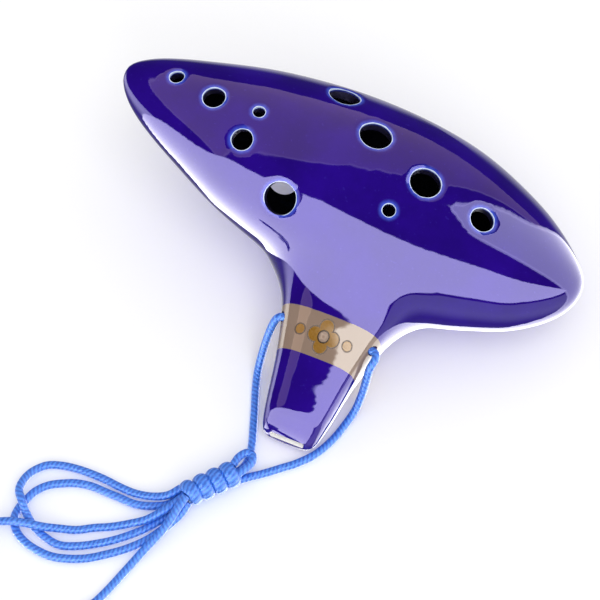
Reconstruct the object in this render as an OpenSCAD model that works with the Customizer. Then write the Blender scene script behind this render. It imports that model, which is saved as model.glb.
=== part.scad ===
// Twelve-hole transverse ocarina of glazed earthenware, with a satin neck cord.
// +X runs along the body to its blunt end, the mouthpiece points to -Y, and +Z is up.
// The origin lies on the table under the middle of the instrument.

/* [Body] */
// Length of the chamber body from its pointed end to its blunt end
body_len = 175; // [170:1:180]
// Thickness of the clay wall
wall = 4; // [3.5:0.5:4.5]
// Depth to which the belly is rubbed flat, so that the body stands
foot_cut = 0.8; // [0.6:0.1:1.0]

/* [Finger holes] */
// Scale of all the finger and thumb holes
hole_scale = 1; // [0.9:0.05:1.05]

/* [Mouthpiece] */
// Width of the windway
windway_w = 12.4; // [11:0.2:13]
// Height of the windway at its mouth
windway_in = 2.2; // [2:0.1:2.4]
// Height of the windway where it meets the window
windway_out = 1.4; // [1.2:0.1:1.6]
// Length of the voicing window between the windway and the edge
window_len = 6; // [5:0.5:7]
// Thickness of the painted band and its ornament
band_t = 0.4; // [0.3:0.1:0.5]

/* [Cord] */
// Diameter of the satin cord
cord_d = 2.8; // [2.6:0.1:2.8]
// Diameter of the hole that the cord passes through
cord_hole_d = 3.8; // [3.6:0.1:4]

/* [Hidden] */

glaze_blue = "#1e0a80";
band_cream = "#e6d8c4";
ochre = "#a8701c";
outline_brown = "#2e1c0c";
cord_blue = "#2f86ec";

// Body: nine sections, spaced by the cosine rule so that both ends come out round.
// Each has its half depth, half height above and below the seam, and its centre's Y and Z.
body_left = -100;
below_table = 10;
SECTIONS = [
    [0, 0, 0, 2.5, 48.5],
    [10, 8, 7.5, 2.5, 44.5],
    [19.3, 16.3, 18, 2, 39.5],
    [29.8, 22.9, 28, 1, 34],
    [36, 26.2, 29 + foot_cut, -0.5, 29],
    [35.3, 24.7, 25 + foot_cut, -2, 25],
    [26, 18.7, 17, -3, 22],
    [12.7, 10.3, 9.5, -4, 22],
    [0, 0, 0, -4, 24]
];
last_section = len(SECTIONS) - 1;
body_rings = 32;
body_sides = 40;
cavity_from = 0.125;
cavity_to = 0.875;

// Finger holes on top, as [x, y, diameter]
FINGER_HOLES = [
    [-80, 4, 5.2], [-64.3, 0.5, 7.9], [-49, -10.6, 7.5], [-29.5, -23.8, 11.4],
    [-24.7, 23, 11.3], [-8, 9.8, 11.4], [14, 0.3, 11], [36, -2.4, 8.6],
    [-47.5, 0.8, 4.3], [6.5, -14.5, 4.5]
];
// Thumb holes underneath
THUMB_HOLES = [[-42, 6, 11.4], [38, 2, 10.6]];
hole_depth = 12;

// Mouthpiece: sections along Y as [y, half width, lowest z, highest z]
SPOUT = [
    [-88, 7.6, 3.4, 8.2], [-87.2, 8.6, 2, 10], [-85, 9.4, 0.8, 11.8], [-81, 10.7, 0, 13.6],
    [-76, 11.9, 0, 15.8], [-69, 13.2, 1.2, 18.9], [-62, 14.5, 2.8, 22], [-55, 16.4, 3.9, 25.3],
    [-48, 18.6, 4.5, 28.8], [-43, 20.8, 4.8, 31.6], [-38, 24.2, 4.8, 35.2], [-33, 29, 4.4, 39.6],
    [-28, 34, 3.8, 43.2], [-22, 38, 3.4, 45], [-15, 36, 5, 44]
];
spout_sides = 40;
spout_power = 2.5;
band_from = 6;
band_to = 8;

// Ornament on top of the band
petal_reach = 3.1;
petal_r = 2.5;
dot_reach = 8.6;
dot_r = 1.7;
disc_r = 1.7;
line_w = 0.4;
ornament_from_z = 14;
ornament_h = 20;

// Windway: its floor rises from the mouth to the window
mouth_y = SPOUT[0][0];
floor_in = 4.3;
window_front = -31;
floor_out = 8.8;
window_back = window_front + window_len;
edge_z = floor_out + windway_out / 2;
window_top = 18;
ramp_end = [-10, -1.5];

// How far a cutter runs past the solid that it cuts
overshoot = 2;

// Cord hole, across the mouthpiece above the windway
cord_hole_y = -51.5;
cord_hole_z = 21;
cord_hole_half = 17.4;
cord_r = cord_d / 2;
cord_sides = 8;
rings_apart = 8.4;

// Barrel knot on the table
knot_centre = [-17.5, -111.5, 4.8];
knot_heading = 229;
knot_half = 9.5;
knot_wraps_n = 4;
knot_pitch = 2 * knot_half / knot_wraps_n;
wrap_r = knot_pitch / 2;
wrap_core_r = 3;
wrap_outer_r = 4.7;

// Coil of the length that is put away
coil_centre = [-92, -173, 0];
coil_inner_r = 11.2;
coil_turn_r = 18.4;
coil_upper_r = 17;
coil_outer_r = coil_turn_r + cord_r;
coil_h = 5.2;
tie_w = 3.2;
tie_t = 0.8;
tie_angle = 210;

knot_along = [cos(knot_heading), sin(knot_heading), 0];
knot_across = [-sin(knot_heading), cos(knot_heading), 0];

// Where a strand meets the knot's end face: end is -1 towards the mouthpiece, 1 away from it
function port(end, across, up) =
    knot_centre + end * knot_half * knot_along + across * knot_across + [0, 0, up];

// Routes of the cord, as points on its centreline
STRAND_RIGHT = [
    [cord_hole_half, cord_hole_y, cord_hole_z], [18.8, -52.5, 21.5], [18.5, -55, 21.5],
    [18, -57.5, 19.5], [18, -60, 15], [17.8, -63, 9.5], [17.2, -67, 4.5], [15.8, -72.5, 2],
    [13.8, -79.5, 1.4], [10.5, -86.5, 1.4], [6, -92, 1.4], [1.5, -96, 1.4], [-3, -100, 1.5],
    [-6.5, -103, 2.2], port(-1, 2.3, -2)
];
STRAND_LEFT = [
    [-cord_hole_half, cord_hole_y, cord_hole_z], [-18.8, -52.5, 20.5], [-19.2, -54.5, 18],
    [-20, -57.5, 12.5], [-20.3, -61.5, 7], [-19.8, -66.5, 3], [-18, -72.5, 1.5], [-15.5, -79, 1.4],
    [-13.3, -85, 1.4], [-11.3, -90.5, 1.4], [-10, -95.5, 1.5], [-10, -100, 1.8], port(-1, -0.7, -2.7)
];
BIGHT = [
    port(-1, -2.2, 1.3), [-12.3, -99.5, 6.2], [-10.5, -97, 6.2], [-8.3, -97, 6.2],
    [-7.5, -100, 6.4], port(-1, 1.6, 1.7)
];
LOOP_UPPER = [
    port(1, -2.9, 0), [-29, -120.5, 4], [-34, -122.5, 2.4], [-40, -123.5, 1.4],
    [-46, -123.5, 1.4], [-52, -123, 1.4], [-58.5, -123, 1.4], [-64, -123.5, 1.4],
    [-68.5, -124.5, 1.4], [-72, -126, 1.4], [-74.5, -128.5, 1.6], [-76, -131.5, 2.4],
    [-76.5, -135, 3.5], [-76, -138.5, 4.2], [-73.5, -141.5, 4.5], [-70.5, -144.5, 3],
    [-67, -147, 1.8], [-62.5, -149, 1.4], [-56, -150, 1.4], [-50, -148, 1.4],
    [-44, -144.5, 1.4], [-38, -140, 1.4], [-31.5, -133.5, 1.4], [-26.5, -126.5, 1.7],
    port(1, 1.45, -2.5)
];
LOOP_LOWER = [
    port(1, -1.45, -2.5), [-28, -122.5, 1.5], [-33, -125.5, 1.5], [-38.5, -127, 1.4],
    [-44, -127, 1.4], [-50, -127, 1.4], [-55, -127, 1.4], [-60, -128, 1.4],
    [-64.5, -130, 1.4], [-68.5, -132.5, 1.4], [-71.5, -136, 1.4], [-73, -140, 1.4],
    [-74, -144, 1.4], [-73.5, -148, 1.4], [-70.5, -151.5, 1.4], [-66.5, -153.5, 1.4],
    [-61.5, -154.5, 1.4], [-56, -154.5, 1.4], [-50.5, -153, 1.4], [-45, -150.5, 1.4],
    [-40, -147, 1.4], [-34.5, -142.5, 1.4], [-29.5, -137, 1.4], [-25.5, -130.5, 1.6],
    [-22.5, -125, 3.2], port(1, 2.9, 0)
];
NECK_LEFT = [
    port(1, 0, 0), [-25.5, -122.5, 5.1], [-28, -126.5, 5], [-32, -131, 3.6],
    [-37.5, -134.5, 2], [-42.5, -137.5, 1.5], [-47.5, -140, 1.4], [-52.5, -143, 1.6],
    [-57.5, -145, 2.6], [-62.5, -147, 4.2], [-67.5, -148.2, 4.9], [-73, -149.5, 4.6],
    [-79, -151.5, 2.8], [-85.5, -154, 1.5], coil_centre + [0, coil_turn_r, cord_r]
];
NECK_RIGHT = [
    port(1, 1.45, 2.5), [-23.5, -124, 6.8], [-24.5, -129, 5.3], [-26, -134.5, 4.2],
    [-28, -139.5, 3], [-30, -145, 1.7], [-32, -151.5, 1.4], [-34, -158, 1.4],
    [-36.5, -164, 1.4], [-41, -169.5, 1.4], [-48, -175, 1.4], [-57, -180, 1.4],
    [-67, -185, 1.4], [-76, -188.5, 1.8], [-84, -190, 3], coil_centre + [0, -coil_upper_r, coil_h - cord_r]
];

// ---- Smooth curves through a table ----

// A row of a table, mirrored past its ends. Sizes change sign there, so that an end is round.
function row(table, i, sign) =
    i < 0 ? sign * table[-i]
    : i > len(table) - 1 ? sign * table[2 * (len(table) - 1) - i]
    : table[i];

function blend(a, b, c, d, f) =
    b + 0.5 * f * ((c - a) + f * ((2 * a - 5 * b + 4 * c - d) + f * (3 * b - a - 3 * c + d)));

function column(k) = [for (s = SECTIONS) s[k]];

COLUMNS = [for (k = [0:4]) column(k)];

// Value k of the body's sections at t, from 0 at the pointed end to 1 at the blunt end
function section_value(k, t) =
    let (
        at = max(0, min(0.99999, t)) * last_section,
        i = floor(at),
        sign = k < 3 ? -1 : 1
    )
    blend(
        row(COLUMNS[k], i - 1, sign), row(COLUMNS[k], i, sign),
        row(COLUMNS[k], i + 1, sign), row(COLUMNS[k], i + 2, sign), at - i
    );

function body_x(t) = body_left + body_len * (1 - cos(180 * t)) / 2;
function body_t(x) = acos(1 - 2 * (x - body_left) / body_len) / 180;

// Point of the body's skin at t and angle a, 0 towards +Y and 90 up, set in by inset
function skin(t, a, inset) =
    let (rise = section_value(sin(a) > 0 ? 1 : 2, t) - inset)
    [
        body_x(t),
        section_value(3, t) + (section_value(0, t) - inset) * cos(a),
        section_value(4, t) + rise * sin(a)
    ];

// Height of the skin over a point of the table: side is 1 for the top, -1 for underneath
function skin_z(x, y, side) =
    let (
        t = body_t(x),
        across = (y - section_value(3, t)) / section_value(0, t),
        rise = section_value(side > 0 ? 1 : 2, t)
    )
    section_value(4, t) + side * rise * sqrt(max(0, 1 - across * across));

// Direction out of the skin there
function skin_normal(x, y, side) =
    let (
        step = 0.5,
        dx = (skin_z(x + step, y, side) - skin_z(x - step, y, side)) / (2 * step),
        dy = (skin_z(x, y + step, side) - skin_z(x, y - step, side)) / (2 * step)
    )
    side * [-dx, -dy, 1] / norm([dx, dy, 1]);

// ---- Solids from rings of points ----

// Closed solid through rings that all have n points, with flat ends
module loft(rings) {
    n = len(rings[0]);
    count = len(rings);
    sides = [
        for (r = [0:count - 2], i = [0:n - 1])
            let (j = (i + 1) % n, a = r * n, b = a + n)
            each [[a + i, b + i, b + j], [a + i, b + j, a + j]]
    ];
    ends = [[for (i = [0:n - 1]) i], [for (i = [n - 1:-1:0]) (count - 1) * n + i]];
    polyhedron(points = [for (ring = rings) each ring], faces = concat(sides, ends));
}

// Closed solid through rings, drawn to a point at each end
module pointed_loft(rings, tip, tail) {
    n = len(rings[0]);
    count = len(rings);
    first = count * n;
    base = (count - 1) * n;
    sides = [
        for (r = [0:count - 2], i = [0:n - 1])
            let (j = (i + 1) % n, a = r * n, b = a + n)
            each [[a + i, b + i, b + j], [a + i, b + j, a + j]]
    ];
    ends = [
        for (i = [0:n - 1])
            let (j = (i + 1) % n)
            each [[first, i, j], [base + j, base + i, first + 1]]
    ];
    polyhedron(points = concat([for (ring = rings) each ring], [tip, tail]), faces = concat(sides, ends));
}

// The body's outer form, from one angle to another
module body_form(from, to, steps) {
    rings = [
        for (r = [1:body_rings - 1])
            [for (i = [0:steps]) skin(r / body_rings, from + (to - from) * i / steps, 0)]
    ];
    pointed_loft(rings, skin(0, 0, 0), skin(1, 0, 0));
}

module whole_body() {
    body_form(0, 360 - 360 / body_sides, body_sides - 1);
}

// The air space inside
module chamber() {
    count = body_rings * 3 / 4;
    loft([
        for (r = [0:count])
            let (t = cavity_from + (cavity_to - cavity_from) * r / count)
            [for (i = [0:body_sides - 1]) skin(t, 360 * i / body_sides, wall)]
    ]);
}

// Turns +Z to a direction
module aim(v) {
    rotate([0, acos(v[2]), atan2(v[1], v[0])]) children();
}

module drill_holes(holes, side) {
    for (h = holes)
        translate([h[0], h[1], skin_z(h[0], h[1], side)])
            aim(skin_normal(h[0], h[1], side))
                translate([0, 0, -hole_depth])
                    cylinder(d = h[2] * hole_scale, h = 1.5 * hole_depth, $fn = 48);
}

// One ring of the mouthpiece
function spout_ring(s, inset) =
    let (mid = (s[2] + s[3]) / 2, half = (s[3] - s[2]) / 2 - inset, w = s[1] - inset, e = 2 / spout_power)
    [
        for (i = [0:spout_sides - 1])
            let (a = 360 * i / spout_sides, c = cos(a), d = sin(a))
            [w * sign(c) * pow(abs(c), e), s[0], mid + half * sign(d) * pow(abs(d), e)]
    ];

// The mouthpiece and its flared neck, with a shallow seat for the band
module spout_form() {
    rings = [
        for (i = [0:len(SPOUT) - 1])
            each (
                i == band_from ? [spout_ring(SPOUT[i], 0), spout_ring(SPOUT[i], band_t)]
                : i == band_to ? [spout_ring(SPOUT[i], band_t), spout_ring(SPOUT[i], 0)]
                : [spout_ring(SPOUT[i], i > band_from && i < band_to ? band_t : 0)]
            )
    ];
    loft([for (i = [len(rings) - 1:-1:0]) rings[i]]);
}

// Everything under the windway's floor
module under_windway() {
    far = 100;
    slope = (floor_out - floor_in) / (window_front - mouth_y);
    rise = slope * far;
    rotate([90, 0, 90])
        linear_extrude(2 * far, center = true)
            polygon([
                [mouth_y - far, floor_in - rise], [mouth_y + 2 * far, floor_in + 2 * rise],
                [mouth_y + 2 * far, -far], [mouth_y - far, -far]
            ]);
}

// The windway, the window under it and the ramp that thins the edge
module air_path() {
    join = 0.01;
    rotate([90, 0, 90])
        linear_extrude(windway_w, center = true) {
            polygon([
                [mouth_y - overshoot, floor_in], [window_front + join, floor_out],
                [window_front + join, floor_out + windway_out],
                [mouth_y - overshoot, floor_in + windway_in]
            ]);
            polygon([
                [window_front, -overshoot], [window_front, window_top], [window_back, window_top],
                [window_back, edge_z], ramp_end, [ramp_end[0], -overshoot]
            ]);
        }
}

module cord_hole() {
    translate([0, cord_hole_y, cord_hole_z])
        rotate([0, 90, 0])
            cylinder(d = cord_hole_d, h = 4 * cord_hole_half, center = true, $fn = 40);
}

// Outline of the ornament: four round petals about a disc, with a dot on each side
module ornament_2d(grow) {
    for (a = [0:90:270])
        rotate(a)
            translate([petal_reach, 0])
                circle(r = petal_r + grow, $fn = 36);
    for (side = [-1, 1])
        translate([side * dot_reach, 0])
            circle(r = dot_r + grow, $fn = 30);
    disc_2d(disc_r + line_w);
}

module disc_2d(r) {
    circle(r = r, $fn = 30);
}

module ornament_place() {
    middle = (SPOUT[band_from][0] + SPOUT[band_to][0]) / 2;
    translate([0, middle, ornament_from_z])
        linear_extrude(ornament_h)
            children();
}

function moved(ring, y) = [for (p = ring) p + [0, y, 0]];

module band_sleeve() {
    seat = [for (i = [band_to:-1:band_from]) spout_ring(SPOUT[i], band_t)];
    difference() {
        loft([for (i = [band_to:-1:band_from]) spout_ring(SPOUT[i], 0)]);
        loft([moved(seat[0], overshoot), each seat, moved(seat[len(seat) - 1], -overshoot)]);
    }
}

// ---- Cord ----

function route_at(route, s) =
    let (
        n = len(route) - 1,
        i = min(floor(s), n - 1),
        a = i > 0 ? route[i - 1] : 2 * route[0] - route[1],
        d = i < n - 1 ? route[i + 2] : 2 * route[n] - route[n - 1]
    )
    blend(a, route[i], route[i + 1], d, s - i);

function route_len(route) =
    [for (i = [0:len(route) - 2]) norm(route[i + 1] - route[i])] * [for (i = [0:len(route) - 2]) 1];

// Tube along a route, its first and last rings square to the given directions
module tube(route, first, last) {
    steps = ceil(route_len(route) / rings_apart);
    n = len(route) - 1;
    rings = [
        for (k = [0:steps])
            let (
                s = n * k / steps,
                ahead = route_at(route, min(n, s + 0.05)) - route_at(route, max(0, s - 0.05)),
                v = k == 0 ? first : k == steps ? last : ahead / norm(ahead),
                flat = cross(v, [0, 0, 1]),
                side = flat / norm(flat),
                up = cross(side, v)
            )
            [
                for (i = [0:cord_sides - 1])
                    let (a = 360 * i / cord_sides)
                    route_at(route, s) + cord_r * (cos(a) * side + sin(a) * up)
            ]
    ];
    loft(rings);
}

// ---- The pieces ----

module upper_shell() {
    color(glaze_blue)
        difference() {
            body_form(0, 180, body_sides / 2);
            chamber();
            drill_holes(FINGER_HOLES, 1);
        }
}

module lower_shell() {
    color(glaze_blue)
        difference() {
            body_form(180, 360, body_sides / 2);
            chamber();
            drill_holes(THUMB_HOLES, -1);
            air_path();
            translate([body_left, -body_len / 2, -below_table])
                cube([body_len, body_len, below_table]);
        }
}

module spout_roof() {
    color(glaze_blue)
        difference() {
            spout_form();
            under_windway();
            whole_body();
            air_path();
            cord_hole();
        }
}

module spout_floor() {
    color(glaze_blue)
        difference() {
            intersection() {
                spout_form();
                under_windway();
            }
            whole_body();
            air_path();
        }
}

module band() {
    color(band_cream)
        difference() {
            band_sleeve();
            cord_hole();
            ornament_place()
                ornament_2d(line_w);
        }
}

module emblem_petals() {
    color(ochre)
        intersection() {
            band_sleeve();
            ornament_place()
                difference() {
                    ornament_2d(0);
                    disc_2d(disc_r + line_w);
                }
        }
}

module emblem_outline() {
    color(outline_brown)
        intersection() {
            band_sleeve();
            ornament_place()
                difference() {
                    ornament_2d(line_w);
                    difference() {
                        ornament_2d(0);
                        disc_2d(disc_r + line_w);
                    }
                    disc_2d(disc_r);
                }
        }
}

module emblem_centre() {
    color(band_cream)
        intersection() {
            band_sleeve();
            ornament_place()
                disc_2d(disc_r);
        }
}

module cord_through_hole() {
    color(cord_blue)
        translate([0, cord_hole_y, cord_hole_z])
            rotate([0, 90, 0])
                cylinder(r = cord_r, h = 2 * cord_hole_half, center = true, $fn = 32);
}

module cord_strand_left() {
    color(cord_blue)
        tube(STRAND_LEFT, [-1, 0, 0], knot_along);
}

module cord_strand_right() {
    color(cord_blue)
        tube(STRAND_RIGHT, [1, 0, 0], knot_along);
}

// Half section of one wrap, rounded outside
module wrap_2d() {
    thick = wrap_outer_r - wrap_core_r;
    translate([wrap_core_r, -wrap_r])
        square([thick / 2, 2 * wrap_r]);
    for (side = [-1, 1])
        translate([wrap_outer_r - thick / 2, side * (wrap_r - thick / 2)])
            circle(d = thick, $fn = 24);
    translate([wrap_core_r, thick / 2 - wrap_r])
        square([thick, 2 * wrap_r - thick]);
}

module knot_wraps() {
    color(cord_blue)
        translate(knot_centre)
            rotate([0, 90, knot_heading])
                rotate_extrude($fn = 48) {
                    translate([0, -knot_half])
                        square([wrap_core_r, 2 * knot_half]);
                    for (i = [0:knot_wraps_n - 1])
                        translate([0, (i + 0.5) * knot_pitch - knot_half])
                            wrap_2d();
                }
}

module knot_bight() {
    color(cord_blue)
        tube(BIGHT, -knot_along, knot_along);
}

module cord_loop_upper() {
    color(cord_blue)
        tube(LOOP_UPPER, knot_along, -knot_along);
}

module cord_loop_lower() {
    color(cord_blue)
        tube(LOOP_LOWER, knot_along, -knot_along);
}

module neck_cord_left() {
    color(cord_blue)
        tube(NECK_LEFT, knot_along, [-1, 0, 0]);
}

module neck_cord_right() {
    color(cord_blue)
        tube(NECK_RIGHT, knot_along, [-1, 0, 0]);
}

module neck_cord_coil() {
    round_r = cord_r;
    color(cord_blue)
        translate(coil_centre)
            rotate_extrude($fn = 64)
                translate([coil_inner_r, 0]) {
                    wide = coil_outer_r - coil_inner_r;
                    translate([round_r, 0])
                        square([wide - 2 * round_r, coil_h]);
                    translate([0, round_r])
                        square([wide, coil_h - 2 * round_r]);
                    for (x = [round_r, wide - round_r], z = [round_r, coil_h - round_r])
                        translate([x, z])
                            circle(r = round_r, $fn = 24);
                }
}

module coil_tie() {
    wide = coil_outer_r - coil_inner_r;
    gap = 0.1;
    color(outline_brown)
        translate(coil_centre)
            rotate(tie_angle)
                translate([coil_inner_r - gap - tie_t, -tie_w / 2, 0])
                    difference() {
                        cube([wide + 2 * (gap + tie_t), tie_w, coil_h + gap + tie_t]);
                        translate([tie_t, -1, -1])
                            cube([wide + 2 * gap, tie_w + 2, coil_h + gap + 1]);
                    }
}

upper_shell();
lower_shell();
spout_roof();
spout_floor();
band();
emblem_petals();
emblem_outline();
emblem_centre();
cord_through_hole();
cord_strand_left();
cord_strand_right();
knot_wraps();
knot_bight();
cord_loop_upper();
cord_loop_lower();
neck_cord_left();
neck_cord_right();
neck_cord_coil();
coil_tie();
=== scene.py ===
"""A glazed earthenware ocarina with a satin neck cord, on a white table.

Lengths are in metres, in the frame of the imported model: +X to the chamber's blunt end,
the mouthpiece towards -Y, +Z up, the table at z = 0.
"""
import math

import bpy
import bmesh
from bpy.props import FloatProperty, FloatVectorProperty, PointerProperty
from bpy.types import Operator, Panel, PropertyGroup
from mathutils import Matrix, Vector


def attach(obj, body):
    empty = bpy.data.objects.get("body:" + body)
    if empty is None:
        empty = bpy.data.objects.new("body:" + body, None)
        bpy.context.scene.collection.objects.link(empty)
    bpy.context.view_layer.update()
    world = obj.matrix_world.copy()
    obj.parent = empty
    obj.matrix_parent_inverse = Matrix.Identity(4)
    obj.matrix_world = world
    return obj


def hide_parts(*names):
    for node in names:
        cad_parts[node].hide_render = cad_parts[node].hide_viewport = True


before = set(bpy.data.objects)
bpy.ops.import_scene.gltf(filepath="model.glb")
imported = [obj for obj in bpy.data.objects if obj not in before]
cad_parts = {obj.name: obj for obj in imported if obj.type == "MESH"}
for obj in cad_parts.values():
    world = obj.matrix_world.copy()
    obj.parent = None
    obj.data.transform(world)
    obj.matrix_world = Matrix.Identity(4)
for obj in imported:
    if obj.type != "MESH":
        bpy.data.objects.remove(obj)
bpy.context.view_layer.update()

bl_info = {
    "name": "Glazed Ocarina",
    "version": (1, 0, 0),
    "blender": (4, 5, 0),
    "location": "View3D > Sidebar > Ocarina",
    "description": "Models a glazed twelve-hole ocarina with its neck cord",
    "category": "Object",
}

MM = 0.001
OCARINA = "ocarina"
LANYARD = "neck_cord"

# Body sections at even steps of t: half depth, half height above and below the seam, centre Y and Z
BODY_LEFT = -0.100
BODY_LENGTH = 0.175
SECTIONS = [
    (0, 0, 0, 2.5, 48.5), (10, 8, 7.5, 2.5, 44.5), (19.3, 16.3, 18, 2, 39.5),
    (29.8, 22.9, 28, 1, 34), (36, 26.2, 29.8, -0.5, 29), (35.3, 24.7, 25.8, -2, 25),
    (26, 18.7, 17, -3, 22), (12.7, 10.3, 9.5, -4, 22), (0, 0, 0, -4, 24),
]
# Mouthpiece sections: Y, half width, lowest Z, highest Z
SPOUT = [
    (-88, 8.5, 3, 8.6), (-87.2, 9.5, 1.8, 10.8), (-85, 10.3, 0.7, 12.9), (-81, 11, 0, 14.5),
    (-76, 12, 0, 16.4), (-69, 13.2, 1.2, 19.3), (-62, 14.6, 2.8, 22.2), (-55, 16.4, 3.9, 25.2),
    (-48, 18.5, 4.5, 28.4), (-43, 20.8, 4.8, 30.8), (-38, 24.2, 4.8, 35), (-33, 29, 4.4, 39.5),
    (-28, 34, 3.8, 43.2), (-22, 38, 3.4, 45), (-15, 36, 5, 44),
]
SPOUT_POWER = 3.2
LIP_LEAN = 0.36
LIP_FROM = -81
LIP_RUN = 5
BAND_Y = (-0.062, -0.048)

# Where the neck flows into the chamber: Y from and to, reach along X, soft edge, times smoothed
NECK_Y = (-0.050, -0.008)
NECK_REACH = 0.058
NECK_EDGE = 0.014
NECK_SMOOTHING = 170

# Sections drawn along the body, the mouthpiece and the chamber, and points in each section
BODY_RINGS = 56
SPOUT_STEPS = 44
CHAMBER_STEPS = 40
RING_POINTS = 64
CHAMBER_POINTS = 48
SMOOTHING = 8
FLAT_ANGLE = 35

# Holes: X, Y, diameter, and 1 on top or -1 underneath
HOLES = [
    (-80, 4, 5.2, 1), (-64.3, 0.5, 7.9, 1), (-49, -10.6, 7.5, 1), (-29.5, -23.8, 11.4, 1),
    (-24.7, 23, 11.3, 1), (-8, 9.8, 11.4, 1), (14, 0.3, 11, 1), (36, -2.4, 8.6, 1),
    (-47.5, 0.8, 4.3, 1), (6.5, -14.5, 4.5, 1), (-42, 6, 11.4, -1), (38, 2, 10.6, -1),
]

# Finger rests, and how far a hole's cutter reaches down and stands out
DISH_REACH = 0.0024
WIDE_HOLE = 10
HOLE_DEPTH = 0.012
WIDE_HOLE_DEPTH = 0.020
HOLE_ABOVE = 0.006

# Windway, window and cord bore; the outlines are seen along X
WINDWAY_WIDTH = 0.0124
WINDWAY = [(-90, 4.2), (-30.9, 8.8), (-30.9, 10.2), (-90, 6.4)]
WINDOW = [(-31, -2), (-31, 18), (-25, 18), (-25, 9.5), (-10, -1.5), (-10, -2)]
CORD_BORE = Vector((0, -0.0515, 0.021))
CORD_BORE_RADIUS = 0.0019
CORD_BORE_LENGTH = 0.09
BORE_MOUTH = 0.0174
SLOT_ROUNDING = 0.00065
BAND_RISE = 0.00006
BAND_THICKNESS = 0.0003

# Knot, coil and the height and sampling of the cord
KNOT_CENTRE = Vector((-0.0175, -0.1115, 0.0048))
KNOT_HEADING = math.radians(229)
KNOT_HALF = 0.0095
KNOT_WRAPS = 4
WRAP_RADIUS = 0.0032
WRAP_THICKNESS = 0.00148
WRAP_OVERLAP = 1.03
WRAP_LEAN = 0.14
LAST_WRAP_LEAN = 0.38
KNOT_CORE_RADIUS = 0.0031
COIL_CENTRE = Vector((-0.092, -0.173, 0))
COIL_TURN = 0.0184
COIL_PITCH = 0.0029
COIL_UPPER_RISE = 0.0024
COIL_STEPS = 30
CORD_REST = 0.0014
CORD_STEP = 0.0008
BIGHT_STEP = 0.0006

# Tie: place on the coil, half width and half height of a turn, thread, turns and their pitch
TIE_ANGLE = math.radians(210)
TIE_RADIUS = 0.0155
TIE_HALF = (0.0049, 0.0027)
TIE_MIDDLE_Z = 0.0031
TIE_THREAD = 0.0007
TIE_TURNS = 3
TIE_PITCH = 0.00075
TIE_STEPS = 40
TIE_SQUARENESS = 0.75

# Camera, table and light targets
CAMERA_PLACE = Vector((0.0936, -0.2952, 0.5601))
CAMERA_TARGET = Vector((-0.01384, -0.04279, 0.020))
CAMERA_LENS = 105.2
TABLE_SIZE = 8.0
LIGHT_TARGET = Vector((0, -0.04, 0.02))

KNOT_ALONG = Vector((math.cos(KNOT_HEADING), math.sin(KNOT_HEADING), 0))
KNOT_ACROSS = Vector((-math.sin(KNOT_HEADING), math.cos(KNOT_HEADING), 0))


def port(end, across, up):
    """Where a strand meets the knot's end: -1 towards the mouthpiece, 1 away from it."""
    place = KNOT_CENTRE + end * KNOT_HALF * KNOT_ALONG + across * MM * KNOT_ACROSS
    return place + Vector((0, 0, up * MM))


def route(*points):
    """A cord's centreline from points given in millimetres, or already in place."""
    return [p if isinstance(p, Vector) else Vector(p) * MM for p in points]


STRAND_RIGHT = route(
    (0, -51.5, 21), (8, -51.5, 21), (15.5, -51.5, 21), (17.9, -52.2, 21.3), (18.7, -54, 21.4),
    (18.4, -56, 20.6), (18, -57.8, 18.9), (18, -60, 15), (17.8, -63, 9.5), (17.2, -67, 4.5),
    (15.8, -72.5, 2),
    (13.8, -79.5, 1.4), (10.5, -86.5, 1.4), (6, -92, 1.4), (1.5, -96, 1.4), (-3, -100, 1.5),
    (-6.5, -103, 2.2), port(-1, 2.3, -2),
)
STRAND_LEFT = route(
    (0, -51.5, 21), (-8, -51.5, 21), (-15.5, -51.5, 21), (-18, -52.1, 20.4), (-19.2, -54, 18),
    (-20, -57.5, 12.5), (-20.3, -61.5, 7), (-19.8, -66.5, 3), (-18, -72.5, 1.5), (-15.5, -79, 1.4),
    (-13.3, -85, 1.4), (-11.3, -90.5, 1.4), (-10, -95.5, 1.5), (-10, -100, 1.8),
    port(-1, -0.7, -2.7),
)
BIGHT = route(
    port(-1, -2.2, 1.3), (-12.3, -99.5, 6.2), (-10.5, -97, 6.2), (-8.3, -97, 6.2),
    (-7.5, -100, 6.4), port(-1, 1.6, 1.7),
)
LOOP_UPPER = route(
    port(1, -2.9, 0), (-29, -120.5, 4), (-34, -122.5, 2.4), (-40, -123.5, 1.4),
    (-46, -123.5, 1.4), (-52, -123, 1.4), (-58.5, -123, 1.4), (-64, -123.5, 1.4),
    (-68.5, -124.5, 1.4), (-72, -126, 1.4), (-74.5, -128.5, 1.6), (-76, -131.5, 2.4),
    (-76.5, -135, 3.5), (-76, -138.5, 4.2), (-73.5, -141.5, 4.5), (-70.5, -144.5, 3),
    (-67, -147, 1.8), (-62.5, -149, 1.4), (-56, -150, 1.4), (-50, -148, 1.4),
    (-44, -144.5, 1.4), (-38, -140, 1.4), (-31.5, -133.5, 1.4), (-26.5, -126.5, 1.7),
    port(1, 1.45, -2.5),
)
LOOP_LOWER = route(
    port(1, -1.45, -2.5), (-28, -122.5, 1.5), (-33, -125.5, 1.5), (-38.5, -127, 1.4),
    (-44, -127, 1.4), (-50, -127, 1.4), (-55, -127, 1.4), (-60, -128, 1.4),
    (-64.5, -130, 1.4), (-68.5, -132.5, 1.4), (-71.5, -136, 1.4), (-73, -140, 1.4),
    (-74, -144, 1.4), (-73.5, -148, 1.4), (-70.5, -151.5, 1.4), (-66.5, -153.5, 1.4),
    (-61.5, -154.5, 1.4), (-56, -154.5, 1.4), (-50.5, -153, 1.4), (-45, -150.5, 1.4),
    (-40, -147, 1.4), (-34.5, -142.5, 1.4), (-29.5, -137, 1.4), (-25.5, -130.5, 1.6),
    (-22.5, -125, 3.2), port(1, 2.9, 0),
)
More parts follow.
